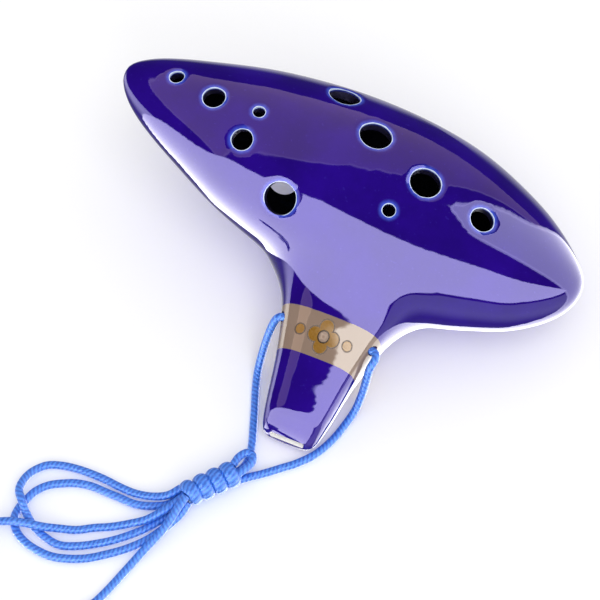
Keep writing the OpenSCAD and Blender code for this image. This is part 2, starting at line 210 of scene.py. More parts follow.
NECK_LEFT = route(
    port(1, 0, 0), (-25.5, -122.5, 5.1), (-28, -126.5, 5), (-32, -131, 3.6),
    (-37.5, -134.5, 2), (-42.5, -137.5, 1.5), (-47.5, -140, 1.4), (-52.5, -143, 1.6),
    (-57.5, -145, 2.6), (-62.5, -147, 4.2), (-67.5, -148.2, 4.9), (-73, -149.5, 4.6),
    (-79, -151.5, 2.8), (-85.5, -154, 1.5),
)
NECK_RIGHT = route(
    port(1, 1.45, 2.5), (-23.5, -124, 6.8), (-24.5, -129, 5.3), (-26, -134.5, 4.2),
    (-28, -139.5, 3), (-30, -145, 1.7), (-32, -151.5, 1.4), (-34, -158, 1.4),
    (-36.5, -164, 1.4), (-41, -169.5, 1.4), (-48, -175, 1.4), (-57, -180, 1.4),
    (-67, -185, 1.4), (-76, -188.5, 1.8), (-84, -190, 3),
)


# ---- Settings ----

class CordSettings(PropertyGroup):
    diameter: FloatProperty(
        name="Cord diameter", description="Diameter of the satin cord", default=0.0028,
        unit="LENGTH",
    )
    colour: FloatVectorProperty(
        name="Cord colour", description="Colour of the satin cord", default=(0.022, 0.21, 0.8),
        subtype="COLOR", size=3,
    )


class BodySettings(PropertyGroup):
    wall: FloatProperty(
        name="Wall", description="Thickness of the clay wall", default=0.004, unit="LENGTH"
    )
    surface_step: FloatProperty(
        name="Surface step", description="Mesh size of the thrown surface", default=0.0009,
        unit="LENGTH",
    )
    dish: FloatProperty(
        name="Dish", description="Depth of the finger rest round a hole", default=0.0006,
        unit="LENGTH",
    )
    glaze: FloatVectorProperty(
        name="Glaze colour", description="Colour of the deep blue glaze",
        default=(0.016, 0.0015, 0.19), subtype="COLOR", size=3,
    )
    glaze_edge: FloatVectorProperty(
        name="Thin glaze", description="Colour where the glaze runs thin",
        default=(0.07, 0.13, 0.75), subtype="COLOR", size=3,
    )


class BandSettings(PropertyGroup):
    cream: FloatVectorProperty(
        name="Band colour", description="Cream colour of the band", default=(0.27, 0.19, 0.145),
        subtype="COLOR", size=3,
    )
    ochre: FloatVectorProperty(
        name="Ornament colour", description="Ochre colour of the petals",
        default=(0.24, 0.115, 0.012), subtype="COLOR", size=3,
    )
    line: FloatVectorProperty(
        name="Line colour", description="Brown colour of the outline", default=(0.02, 0.009, 0.004),
        subtype="COLOR", size=3,
    )


# ---- Shader maths ----

class Value:
    """A socket that takes part in expressions; each operation adds a Math node."""

    def __init__(self, tree, socket):
        self.tree = tree
        self.socket = socket

    def _math(self, operation, a, b=None):
        inputs = {0: a} if b is None else {0: a, 1: b}
        return self.tree.node("ShaderNodeMath", {"operation": operation}, inputs)

    def __add__(self, other):
        return self._math("ADD", self, other)

    __radd__ = __add__

    def __sub__(self, other):
        return self._math("SUBTRACT", self, other)

    def __rsub__(self, other):
        return self._math("SUBTRACT", other, self)

    def __mul__(self, other):
        return self._math("MULTIPLY", self, other)

    __rmul__ = __mul__

    def __truediv__(self, other):
        return self._math("DIVIDE", self, other)

    def __rtruediv__(self, other):
        return self._math("DIVIDE", other, self)

    def __pow__(self, other):
        return self._math("POWER", self, other)

    def sqrt(self):
        return self._math("SQRT", self)

    def absolute(self):
        return self._math("ABSOLUTE", self)

    def sine(self):
        return self._math("SINE", self)

    def least(self, other):
        return self._math("MINIMUM", self, other)

    def most(self, other):
        return self._math("MAXIMUM", self, other)

    def below(self, other):
        return self._math("LESS_THAN", self, other)

    def ramp(self, low, high):
        """0 at low, 1 at high, smooth between."""
        return self.tree.node(
            "ShaderNodeMapRange", {"interpolation_type": "SMOOTHSTEP"},
            {"Value": self, "From Min": low, "From Max": high},
        )


class Material:
    """A material and its node tree."""

    def __init__(self, name):
        self.take(bpy.data.materials.new(name))

    @classmethod
    def of(cls, data):
        """The same for a world."""
        made = cls.__new__(cls)
        made.take(data)
        return made

    def take(self, data):
        self.data = data
        self.data.use_nodes = True
        self.nodes = self.data.node_tree.nodes
        self.links = self.data.node_tree.links
        self.nodes.clear()

    def node(self, kind, settings=None, inputs=None, output=0):
        """Adds a node from its type, its settings and its inputs, and returns one output."""
        made = self.nodes.new(kind)
        for key, value in (settings or {}).items():
            if key == "stops":
                ramp = made.color_ramp
                while len(ramp.elements) < len(value):
                    ramp.elements.new(0.5)
                for element, (place, colour) in zip(ramp.elements, value):
                    element.position = place
                    element.color = colour
            else:
                setattr(made, key, value)
        for key, value in (inputs or {}).items():
            if isinstance(value, Value):
                self.links.new(value.socket, made.inputs[key])
            else:
                made.inputs[key].default_value = value
        return Value(self, made.outputs[output]) if len(made.outputs) else made

    def mix(self, factor, a, b):
        made = self.nodes.new("ShaderNodeMix")
        made.data_type = "RGBA"
        for index, value in ((0, factor), (6, a), (7, b)):
            if isinstance(value, Value):
                self.links.new(value.socket, made.inputs[index])
            elif index == 0:
                made.inputs[index].default_value = value
            else:
                made.inputs[index].default_value = (*value, 1.0)
        return Value(self, made.outputs[2])

    def place(self):
        """The three object coordinates."""
        made = self.nodes.new("ShaderNodeTexCoord")
        split = self.node("ShaderNodeSeparateXYZ", None, {0: Value(self, made.outputs["Object"])})
        outs = split.socket.node.outputs
        return Value(self, made.outputs["Object"]), [Value(self, outs[i]) for i in range(3)]

    def noise(self, vector, scale, detail=4.0, rough=0.5):
        return self.node(
            "ShaderNodeTexNoise", None,
            {"Vector": vector, "Scale": scale, "Detail": detail, "Roughness": rough},
        )

    def bump(self, height, strength, distance):
        return self.node(
            "ShaderNodeBump", None, {"Height": height, "Strength": strength, "Distance": distance}
        )

    def surface(self, **inputs):
        """Ends the tree in a Principled shader."""
        named = {key.replace("_", " "): value for key, value in inputs.items()}
        shader = self.node("ShaderNodeBsdfPrincipled", None, named)
        self.node("ShaderNodeOutputMaterial", None, {"Surface": shader})
        return self.data


def hole_place(m, position, hole):
    """Distance from the wall of a hole's bore and depth down it, in millimetres."""
    x, y, diameter, side = hole
    point, normal = skin_place(x, y, side)
    offset = m.node(
        "ShaderNodeVectorMath", {"operation": "SUBTRACT"}, {0: position, 1: tuple(point)}
    )
    crossed = m.node(
        "ShaderNodeVectorMath", {"operation": "CROSS_PRODUCT"}, {0: offset, 1: tuple(normal)}
    )
    away = m.node("ShaderNodeVectorMath", {"operation": "LENGTH"}, {0: crossed}, "Value")
    along = m.node(
        "ShaderNodeVectorMath", {"operation": "DOT_PRODUCT"}, {0: offset, 1: tuple(normal)}, "Value"
    )
    return away * 1000 - diameter / 2, along * -1000


def glaze_material(settings):
    """Deep blue glaze that thins to pale blue round the holes, with a white ring at each rim that
    is partly thinned glaze and partly a painted highlight, and painted shade that turns the bores
    near black below their mouths.
    """
    m = Material("deep_blue_glaze")
    position, (x, y, z) = m.place()
    near, bore = None, None
    for hole in HOLES:
        distance, depth = hole_place(m, position, hole)
        wrong_side = depth.ramp(8.0, 9.0) * 99
        distance = distance + wrong_side
        # Mask of each bore wall from about a millimetre down, which gets painted shade below.
        wall = (1 - distance.ramp(0.15, 0.4)) * depth.ramp(0.9, 2.0)
        distance = distance + depth.ramp(0.9, 1.6)
        near = distance if near is None else near.least(distance)
        bore = wall if bore is None else bore.most(wall)
    wobble = m.noise(position, 420.0, 3.0)
    near = near + (wobble - 0.5) * 0.5
    cloud = m.noise(position, 38.0, 6.0, 0.6)
    speckle = m.noise(position, 900.0, 2.0, 0.4)
    glaze = tuple(settings.glaze)
    deep = m.mix(
        cloud.ramp(0.3, 0.75), tuple(c * 0.8 for c in glaze), tuple(c * 1.25 for c in glaze)
    )
    mottle = m.noise(position, 650.0, 4.0, 0.6).ramp(0.25, 0.75)
    halo = (1 - near.ramp(0.1, 1.9)) * (0.45 + 0.4 * mottle)
    body = m.mix(halo, deep, tuple(settings.glaze_edge))
    # A white ring at each hole's edge: partly thinned glaze, partly a painted highlight.
    rim = 1 - near.absolute().ramp(0.1, 0.34)
    pale = m.mix(rim, body, (0.7, 0.82, 1.0))
    specks = speckle.ramp(0.68, 0.74) * 0.2
    colour = m.mix(specks, pale, (0.05, 0.03, 0.4))
    # Painted shade: the bore walls are coloured near black from about a millimetre down.
    colour = m.mix(bore, colour, (0.001, 0.0005, 0.006))
    foot = 1 - z.ramp(0.00004, 0.0003)
    foot_away = ((x - 0.005) ** 2 + y ** 2).sqrt()
    foot = foot * (1 - foot_away.ramp(0.045, 0.05))
    grain = m.noise(position, 1500.0, 5.0, 0.7)
    clay = m.mix(grain, (0.62, 0.55, 0.47), (0.8, 0.75, 0.68))
    colour = m.mix(foot, colour, clay)
    ripple = m.noise(position, 120.0, 2.0, 0.4)
    return m.surface(
        Base_Color=colour,
        Roughness=0.035 + foot * 0.6 + bore * 0.5,
        IOR=1.54,
        Specular_Tint=(0.6, 0.55, 1.0, 1.0),
        Normal=m.bump(ripple, 0.05, 0.0004),
    )


def clay_material():
    """Bare white clay, as in the windway."""
    m = Material("bare_white_clay")
    position, _ = m.place()
    grain = m.noise(position, 1400.0, 6.0, 0.7)
    cloud = m.noise(position, 120.0, 3.0)
    colour = m.mix(cloud, (0.86, 0.85, 0.82), (0.95, 0.94, 0.93))
    return m.surface(Base_Color=colour, Roughness=0.75, Normal=m.bump(grain, 0.35, 0.0002))


def chamber_material():
    """Painted shade inside the chamber: near-black walls with random darker and paler patches,
    bluer and paler at the top.
    """
    m = Material("chamber_painted_shade")
    position, (_, _, z) = m.place()
    runs = m.noise(position, 160.0, 5.0, 0.65)
    # Painted shade: the chamber walls are coloured near black, bluer and paler at the top.
    dark = m.mix(runs.ramp(0.55, 0.75), (0.002, 0.002, 0.006), (0.006, 0.008, 0.03))
    upper = z.ramp(0.046, 0.056)
    colour = m.mix(upper, dark, (0.02, 0.04, 0.16))
    return m.surface(
        Base_Color=colour, Roughness=0.85, Specular_IOR_Level=0.1, Normal=m.bump(runs, 0.3, 0.0004)
    )


def band_material(settings):
    """Cream band with a four-petal ornament in ochre, under a clear gloss."""
    m = Material("painted_band")
    position, (x, y, z) = m.place()
    across = x * 1000
    along = (y + 0.055) * 1000
    wobble = (m.noise(position, 700.0, 2.0) - 0.5) * 0.18

    def disc(cx, cy, r):
        dx = across - cx
        dy = along - cy
        return (dx * dx + dy * dy).sqrt() - r + wobble

    petals = None
    for angle in range(0, 360, 90):
        turn = math.radians(angle)
        d = disc(3.1 * math.cos(turn), 3.1 * math.sin(turn), 2.5)
        petals = d if petals is None else petals.least(d)
    for side in (-1, 1):
        petals = petals.least(disc(side * 8.6, 0, 1.7))
    heart = disc(0, 0, 1.9)
    on_top = z.ramp(0.016, 0.0165)
    ornament = (1 - petals.ramp(-0.08, 0.08)) * on_top
    outline = (1 - petals.absolute().ramp(0.14, 0.3)) * on_top
    centre = 1 - heart.ramp(-0.08, 0.08)
    centre_line = 1 - heart.absolute().ramp(0.14, 0.3)
    cloud = m.noise(position, 90.0, 5.0)
    fine = m.noise(position, 1300.0, 3.0)
    cream = m.mix(
        cloud, tuple(c * 0.86 for c in settings.cream), tuple(c * 1.1 for c in settings.cream)
    )
    ochre = m.mix(
        fine, tuple(c * 0.8 for c in settings.ochre), tuple(c * 1.2 for c in settings.ochre)
    )
    colour = m.mix(ornament, cream, ochre)
    colour = m.mix(centre * on_top, colour, cream)
    colour = m.mix(outline * (1 - centre), colour, tuple(settings.line))
    colour = m.mix(centre_line * on_top, colour, tuple(settings.line))
    ripple = m.noise(position, 120.0, 2.0, 0.4)
    return m.surface(
        Base_Color=colour,
        Roughness=0.04 + ornament * 0.1 + outline * 0.4,
        IOR=1.54,
        Specular_Tint=(1.0, 0.95, 0.88, 1.0),
        Normal=m.bump(ripple, 0.05, 0.0004),
    )


def cord_material(settings, turns_per_metre=620):
    """Satin cord: a fine twist over lengthwise fibres, painted darker in their grooves (painted
    shade) and lighter on their ridges (painted sheen), under a sheen layer. Its UV runs along and
    around.
    """
    m = Material("twisted_satin")
    uv = Value(m, m.nodes.new("ShaderNodeUVMap").outputs[0])
    split = m.node("ShaderNodeSeparateXYZ", None, {0: uv})
    outs = split.socket.node.outputs
    along, around = Value(m, outs[0]), Value(m, outs[1])
    position, _ = m.place()
    fray = m.noise(position, 700.0, 3.0)
    twist = (along * turns_per_metre * 6.283 + around * 6.283 * 3 + fray * 5).sine() * 0.5 + 0.5
    strands = m.node("ShaderNodeCombineXYZ", None, {0: along * 900, 1: around * 14, 2: 0.0})
    fibre = m.noise(strands, 1.0, 4.0, 0.6)
    base = tuple(settings.colour)
    # Painted shade and sheen: the colour follows the bump, darker in the grooves of the twist and
    # fibres and lighter on their ridges.
    dark = (base[0] * 0.4, base[1] * 0.3, base[2] * 0.55)
    light = (base[0] + 0.06, base[1] * 1.45, min(1.0, base[2] * 1.15))
    colour = m.mix(twist * 0.55 + fibre * 0.45, dark, light)
    height = twist * 0.6 + fibre * 0.4
    return m.surface(
        Base_Color=colour, Roughness=0.38, Sheen_Weight=0.12, Sheen_Roughness=0.4,
        Sheen_Tint=(0.6, 0.8, 1.0, 1.0), Normal=m.bump(height, 0.5, 0.00035),
    )


def tie_material():
    m = Material("woven_tie")
    position, (x, y, _) = m.place()
    ribs = ((x + y * 0.4) * 5200).sine() * 0.5 + 0.5
    lint = m.noise(position, 1500.0, 4.0)
    colour = m.mix(ribs * 0.6 + lint * 0.4, (0.02, 0.01, 0.006), (0.09, 0.05, 0.03))
    return m.surface(Base_Color=colour, Roughness=0.8, Normal=m.bump(ribs, 0.4, 0.0003))


def studio_world():
    """A white room. Gloss shows its lights by direction: front box, side window, dim ceiling."""
    world = bpy.data.worlds.new("studio")
    world.use_nodes = True
    m = Material.of(world)
    direction = Value(m, m.nodes.new("ShaderNodeTexCoord").outputs["Generated"])
    split = m.node("ShaderNodeSeparateXYZ", None, {0: direction})
    x, y, z = [Value(m, split.socket.node.outputs[i]) for i in range(3)]

    def inside(*edges, soft=0.012):
        """1 where every edge expression is over 0."""
        least = edges[0]
        for edge in edges[1:]:
            least = least.least(edge)
        return least, least.ramp(-soft, soft)

    _, front = inside(0.17 * x - y - 0.44 * z, 0.896 * x - y - 0.36 * z)
    # The white table ends in a dark gap under the front box
    gap = (1.45 * x - 0.35).least(0.27)
    above = (z - gap).ramp(0.02, 0.05)
    left_foot = (1 - z.ramp(0.08, 0.12)) * (1 - x.ramp(-0.15, 0.0))
    below = (1 - (z - gap).ramp(-0.05, -0.02)).most(left_foot)
    table_left = z.ramp(-0.6, -0.05) * 6 + 0.3
    table_right = z.ramp(-0.75, -0.2) * 2 + 0.25
    table_level = table_left + x.ramp(-0.25, 0.15) * (table_right - table_left)
    table_back = (1 - z.ramp(-0.5, -0.2)) * 0.8 + 0.08
    table_level = table_level + y.ramp(0.0, 0.4) * (table_back - table_level)
    glow = above * front * 12.0
    glow = glow.most(below * table_level)
    edge, dim = inside(y - 0.275 * z - 1.85 * x, x + 0.9 * z, 4.56 * z + 3.64 * x - y, 5.5 * z - y)
    line = (edge.ramp(0.0, 0.008) - edge.ramp(0.02, 0.035)) * 0.9
    side_edge, side = inside(
        2.28 * x - y - 0.32 * z, y - 0.306 * z + 0.176 * x, y - 1.094 * z + 1.65 * x
    )
    side_line = (side_edge.ramp(0.03, 0.04) - side_edge.ramp(0.05, 0.065)) * 2.5
    slope = 1 - (x / z.most(0.05)).ramp(-0.9, 0.8) * 0.45
    white = glow.most(side * (7.0 + side_line)).most(0.07 + line * dim)
    ceiling = m.mix(dim * (1 - glow.ramp(0.2, 1.0)), (0.0, 0.0, 0.0), (2.5, 1.75, 1.4))
    ceiling = m.node("ShaderNodeVectorMath", {"operation": "SCALE"}, {0: ceiling, "Scale": slope})
    level = m.node("ShaderNodeCombineXYZ", None, {0: white, 1: white, 2: white})
    seen = m.node("ShaderNodeVectorMath", {"operation": "ADD"}, {0: level, 1: ceiling})
    glossy = Value(m, m.nodes.new("ShaderNodeLightPath").outputs["Is Glossy Ray"])
    colour = m.mix(glossy, (1.0, 1.0, 1.0), seen)
    shader = m.node("ShaderNodeBackground", None, {"Color": colour, "Strength": 0.85})
    m.node("ShaderNodeOutputWorld", None, {"Surface": shader})
    return world


# ---- Curves and sections ----

def blend(a, b, c, d, f):
    return b + 0.5 * f * ((c - a) + f * ((2 * a - 5 * b + 4 * c - d) + f * (3 * b - a - 3 * c + d)))


def section_value(k, t):
    """Value k of the body's sections at t, in metres."""
    last = len(SECTIONS) - 1
    at = max(0.0, min(0.99999, t)) * last
    i = int(at)
    sign = -1 if k < 3 else 1

    def row(j):
        if j < 0:
            return sign * SECTIONS[-j][k]
        if j > last:
            return sign * SECTIONS[2 * last - j][k]
        return SECTIONS[j][k]

    return blend(row(i - 1), row(i), row(i + 1), row(i + 2), at - i) * MM


def body_x(t):
    return BODY_LEFT + BODY_LENGTH * (1 - math.cos(math.pi * t)) / 2


def body_t(x):
    return math.acos(1 - 2 * (x - BODY_LEFT) / BODY_LENGTH) / math.pi


def skin_z(x, y, side):
    t = body_t(x)
    across = (y - section_value(3, t)) / section_value(0, t)
    rise = section_value(1 if side > 0 else 2, t)
    return section_value(4, t) + side * rise * math.sqrt(max(0.0, 1 - across * across))


def skin_place(x_mm, y_mm, side):
    """Point of the body's skin over or under a place of the table, and its normal."""
    x, y, step = x_mm * MM, y_mm * MM, 0.0005
    dx = (skin_z(x + step, y, side) - skin_z(x - step, y, side)) / (2 * step)
    dy = (skin_z(x, y + step, side) - skin_z(x, y - step, side)) / (2 * step)
    normal = side * Vector((-dx, -dy, 1)).normalized()
    return Vector((x, y, skin_z(x, y, side))), normal


def body_ring(t, inset, count):
    """One section of the body as points, counted from the +Y side over the top."""
    points = []
    for i in range(count):
        a = 2 * math.pi * i / count
        rise = section_value(1 if math.sin(a) > 0 else 2, t) - inset
        points.append(Vector((
            body_x(t),
            section_value(3, t) + (section_value(0, t) - inset) * math.cos(a),
            section_value(4, t) + rise * math.sin(a),
        )))
    return points


def spout_values(y):
    """Half width, lowest and highest Z of the mouthpiece at Y, in millimetres."""
    i = 0
    while i < len(SPOUT) - 2 and SPOUT[i + 1][0] < y:
        i += 1
    f = (y - SPOUT[i][0]) / (SPOUT[i + 1][0] - SPOUT[i][0])
    before = SPOUT[max(0, i - 1)]
    after = SPOUT[min(len(SPOUT) - 1, i + 2)]
    return [blend(before[k], SPOUT[i][k], SPOUT[i + 1][k], after[k], f) for k in (1, 2, 3)]


def spout_ring(y, count):
    """One section of the mouthpiece; near its tip it leans back, as the lip's face does."""
    w, low, high = spout_values(y)
    power = 2 / SPOUT_POWER
    lean = LIP_LEAN * max(0.0, min(1.0, (LIP_FROM - y) / LIP_RUN))
    points = []
    for i in range(count):
        a = 2 * math.pi * i / count
        c, s = math.cos(a), math.sin(a)
        z = (low + high) / 2 + (high - low) / 2 * math.copysign(abs(s) ** power, s)
        x = w * math.copysign(abs(c) ** power, c)
        points.append(Vector((x, y + lean * (z - SPOUT[0][2]), z)) * MM)
    return points


# ---- Modelling helpers ----

def only(obj):
    """Makes obj the one selected and active object."""
    if bpy.context.mode != "OBJECT":
        bpy.ops.object.mode_set(mode="OBJECT")
    bpy.ops.object.select_all(action="DESELECT")
    obj.select_set(True)
    bpy.context.view_layer.objects.active = obj


def drop(obj):
    bpy.data.objects.remove(obj, do_unlink=True)


def settle(obj):
    """Puts the object's place, turn and size into its mesh."""
    only(obj)
    bpy.ops.object.transform_apply(location=True, rotation=True, scale=True)


def soft_step(value, low, high):
    """0 up to low, 1 from high, smooth between."""
    f = max(0.0, min(1.0, (value - low) / (high - low)))
    return f * f * (3 - 2 * f)


def lofted(name, rings):
    """A closed skin drawn ring by ring: a circle, extruded once for each further ring."""
    bpy.ops.object.select_all(action="DESELECT")
    bpy.ops.mesh.primitive_circle_add(vertices=len(rings[0]), radius=0.01)
    obj = bpy.context.object
    obj.name = name
    bpy.ops.object.mode_set(mode="EDIT")
    bpy.ops.mesh.select_all(action="SELECT")
    mesh = bmesh.from_edit_mesh(obj.data)
    for vertex, point in zip(mesh.verts, rings[0]):
        vertex.co = point
    for points, before in zip(rings[1:], rings):
        bpy.ops.mesh.extrude_region_move()
        mesh = bmesh.from_edit_mesh(obj.data)
        placed = {tuple(round(c, 7) for c in p): q for p, q in zip(before, points)}
        for vertex in mesh.verts:
            if vertex.select:
                vertex.co = placed[tuple(round(c, 7) for c in vertex.co)]
        bmesh.update_edit_mesh(obj.data)
    bpy.ops.mesh.edge_face_add()
    bpy.ops.mesh.select_all(action="DESELECT")
    mesh = bmesh.from_edit_mesh(obj.data)
    first = {tuple(round(c, 7) for c in p) for p in rings[0]}
    for vertex in mesh.verts:
        vertex.select = tuple(round(c, 7) for c in vertex.co) in first
    mesh.select_flush_mode()
    bpy.ops.mesh.edge_face_add()
    bpy.ops.mesh.select_all(action="SELECT")
    bpy.ops.mesh.normals_make_consistent(inside=False)
    bpy.ops.object.mode_set(mode="OBJECT")
    return obj


def prism(name, outline, width):
    """A prism of an outline given as (Y, Z) in millimetres, width wide along X."""
    sides = []
    for x in (-width / 2, width / 2):
        sides.append([Vector((x, y * MM, z * MM)) for y, z in outline])
    return lofted(name, sides)


def rod(name, centre, direction, radius, length, sides=64):
    """A straight round bar about its centre."""
    bpy.ops.object.select_all(action="DESELECT")
    bpy.ops.mesh.primitive_cylinder_add(
        vertices=sides, radius=radius, depth=length, location=centre
    )
    obj = bpy.context.object
    obj.name = name
    obj.rotation_mode = "QUATERNION"
    obj.rotation_quaternion = direction.to_track_quat("Z", "Y")
    settle(obj)
    return obj


def cord_bore():
    """The cutter of the cross hole that the cord passes through."""
    return rod("bore", CORD_BORE, Vector((1, 0, 0)), CORD_BORE_RADIUS, CORD_BORE_LENGTH)


def modify(obj, kind, **settings):
    """Adds a modifier and applies it."""
    only(obj)
    modifier = obj.modifiers.new(kind.lower(), kind)
    for key, value in settings.items():
        setattr(modifier, key, value)
    bpy.ops.object.modifier_apply(modifier=modifier.name)


def cut(obj, cutter, operation="DIFFERENCE"):
    """Joins or takes away a cutter, which brings its material, and then removes it."""
    modify(
        obj, "BOOLEAN", object=cutter, operation=operation, solver="EXACT",
        material_mode="TRANSFER",
    )
    drop(cutter)


def smooth(obj, degrees):
    only(obj)
    bpy.ops.object.shade_smooth_by_angle(angle=math.radians(degrees))


def evened(points, step):
    """A smooth line through points, sampled about every step."""
    line = []
    last = len(points) - 1
    for i in range(last):
        a = points[i - 1] if i else 2 * points[0] - points[1]
        d = points[i + 2] if i < last - 1 else 2 * points[last] - points[last - 1]
        parts = max(2, round((points[i + 1] - points[i]).length / step))
        for k in range(parts):
            line.append(blend(a, points[i], points[i + 1], d, k / parts))
    line.append(points[last].copy())
    return line


def length_of(line):
    return sum((q - p).length for p, q in zip(line, line[1:]))


def cord_tube(name, line, diameter, material):
    """A round cord along a line, with a UV map that runs along and around it."""
    bpy.ops.object.select_all(action="DESELECT")
    bpy.ops.curve.primitive_nurbs_path_add()
    obj = bpy.context.object
    obj.name = name
    curve = obj.data
    curve.splines.clear()
    spline = curve.splines.new("POLY")
    spline.points.add(len(line) - 1)
    for point, place in zip(spline.points, line):
        point.co = (*place, 1.0)
    curve.dimensions = "3D"
    curve.twist_mode = "MINIMUM"
    curve.bevel_depth = diameter / 2
    curve.bevel_resolution = 5
    curve.use_fill_caps = True
    curve.resolution_u = 1
    only(obj)
    bpy.ops.object.convert(target="MESH")
    made = bpy.context.object
    layer = made.data.uv_layers[0]
    metres = length_of(line)
    for corner in layer.data:
        corner.uv = (corner.uv[0] * metres, corner.uv[1])
    made.data.materials.clear()
    made.data.materials.append(material)
    settle(made)
    only(made)
    bpy.ops.object.shade_smooth()
    return made


def shared_material(name, maker, *arguments):
    """The material of that name, made the first time it is asked for."""
    found = bpy.data.materials.get(name)
    return found if found else maker(*arguments)


def satin(context):
    return shared_material("twisted_satin", cord_material, context.scene.ocarina_cord)


# ---- Operators ----

class StageOperator(Operator):
    """Sets the white table, the lights and the camera"""

    bl_idname = "ocarina.stage"
    bl_label = "Stage"

    def execute(self, context):
        scene = context.scene
        scene.view_settings.view_transform = "Standard"
        bpy.ops.object.select_all(action="DESELECT")
        bpy.ops.object.camera_add(location=CAMERA_PLACE)
        camera = context.object
        camera.rotation_mode = "QUATERNION"
        camera.rotation_quaternion = (CAMERA_TARGET - CAMERA_PLACE).to_track_quat("-Z", "Y")
        camera.data.lens = CAMERA_LENS
        camera.data.sensor_width = 36.0
        camera.data.clip_start = 0.01
        scene.camera = camera

        scene.world = studio_world()

        bpy.ops.object.select_all(action="DESELECT")
        bpy.ops.mesh.primitive_plane_add(size=TABLE_SIZE)
        table = context.object
        table.name = "table"
        m = Material("white_table")
        position, _ = m.place()
        grain = m.noise(position, 900.0, 3.0)
        white = m.mix(grain, (0.88, 0.88, 0.89), (0.92, 0.92, 0.92))
        table.data.materials.append(
            m.surface(
                Base_Color=white, Roughness=0.9, Specular_IOR_Level=0.0,
                Emission_Color=(1, 1, 1, 1), Emission_Strength=0.1,
            )
        )
        table.visible_glossy = False

        fills = [
            ("overhead_fill", (0.3, -0.3, 1.1), 0.8, 3.0),
            ("front_fill", (0.6, -0.9, 0.8), 0.5, 2.0),
        ]
        for name, place, size, power in fills:
            bpy.ops.object.select_all(action="DESELECT")
            bpy.ops.object.light_add(type="AREA", location=place)
            light = context.object
            light.name = name
            light.data.size = size
            light.data.energy = power
            light.rotation_mode = "QUATERNION"
            aim = LIGHT_TARGET - Vector(place)
            light.rotation_quaternion = aim.to_track_quat("-Z", "Y")
            light.visible_glossy = False
        return {"FINISHED"}


class FormOperator(Operator):
    """Forms the glazed body: the chamber with its mouthpiece, still solid"""

    bl_idname = "ocarina.form"
    bl_label = "Body form"

    def execute(self, context):
        settings = context.scene.ocarina_body
        body = lofted(
            "glazed_body",
            [body_ring(i / BODY_RINGS, 0, RING_POINTS) for i in range(1, BODY_RINGS)],
        )
        low, high = SPOUT[0][0], SPOUT[-1][0]
        ys = [low + (high - low) * (i / SPOUT_STEPS) for i in range(SPOUT_STEPS + 1)]
        ys[1:1] = [low + 0.35, low + 0.8]
        cut(body, lofted("mouthpiece", [spout_ring(y, RING_POINTS) for y in ys]), "UNION")
        modify(body, "REMESH", mode="VOXEL", voxel_size=settings.surface_step)
        modify(body, "SMOOTH", factor=0.5, iterations=SMOOTHING)
        self.smooth_neck(body)
        modify(body, "REMESH", mode="VOXEL", voxel_size=settings.surface_step)
        modify(body, "SMOOTH", factor=0.5, iterations=SMOOTHING)

        bpy.ops.object.select_all(action="DESELECT")
        bpy.ops.mesh.primitive_cube_add(size=1, location=(0, 0, -0.01), scale=(0.4, 0.4, 0.02))
        table_top = context.object
        settle(table_top)
        cut(body, table_top)
        self.dish_holes(body, settings.dish)
        body.data.materials.clear()
        body.data.materials.append(shared_material("deep_blue_glaze", glaze_material, settings))
        only(body)
        bpy.ops.object.shade_smooth()
        return {"FINISHED"}

    def smooth_neck(self, body):
        """Flows the neck into the chamber, most at its middle and fading out to every side."""
        group = body.vertex_groups.new(name="neck")
        for vertex in body.data.vertices:
            x, y, z = vertex.co
            weight = soft_step(y, NECK_Y[0], NECK_Y[0] + NECK_EDGE)
            weight *= 1 - soft_step(y, NECK_Y[1] - NECK_EDGE, NECK_Y[1])
            weight *= 1 - soft_step(abs(x), NECK_REACH - NECK_EDGE, NECK_REACH)
            if weight > 0.001:
                group.add([vertex.index], weight, "REPLACE")
        modify(body, "SMOOTH", factor=0.5, iterations=NECK_SMOOTHING, vertex_group="neck")
        body.vertex_groups.clear()

    def dish_holes(self, body, depth):
        """Presses a soft finger rest into the clay round each hole."""
        only(body)
        bpy.ops.object.mode_set(mode="EDIT")
        for x, y, diameter, side in HOLES:
            point, normal = skin_place(x, y, side)
            radius = diameter * MM / 2
            bpy.ops.mesh.select_all(action="DESELECT")
            mesh = bmesh.from_edit_mesh(body.data)
            for vertex in mesh.verts:
                offset = vertex.co - point
                if offset.length < radius * 1.2 and offset.cross(normal).length < radius * 0.8:
                    vertex.select = True
            mesh.select_flush_mode()
            press = depth * min(1.0, radius / 0.004)
            bpy.ops.transform.translate(
                value=tuple(normal * -press), use_proportional_edit=True,
                proportional_edit_falloff="SMOOTH", proportional_size=radius * 0.2 + DISH_REACH,
            )
        bpy.ops.object.mode_set(mode="OBJECT")


class BandOperator(Operator):
    """Lifts the painted band off the mouthpiece, before the body is hollowed"""

    bl_idname = "ocarina.band"
    bl_label = "Band"

    def execute(self, context):
        only(bpy.data.objects["glazed_body"])
        bpy.ops.object.duplicate()
        band = context.object
        band.name = "painted_band"
        bpy.ops.object.mode_set(mode="EDIT")
        for y, keep in ((BAND_Y[0], 1), (BAND_Y[1], -1)):
            bpy.ops.mesh.select_all(action="SELECT")
            bpy.ops.mesh.bisect(
                plane_co=(0, y, 0), plane_no=(0, -keep, 0), clear_outer=True, use_fill=False
            )
        bpy.ops.mesh.select_all(action="SELECT")
        bpy.ops.transform.shrink_fatten(value=BAND_RISE)
        bpy.ops.object.mode_set(mode="OBJECT")
        modify(band, "SOLIDIFY", thickness=BAND_THICKNESS, offset=-1.0)
        band.data.materials.clear()
        band.data.materials.append(band_material(context.scene.ocarina_band))
        cut(band, cord_bore())
        smooth(band, FLAT_ANGLE)
        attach(band, OCARINA)
        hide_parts("band", "emblem_petals", "emblem_outline", "emblem_centre")
        return {"FINISHED"}


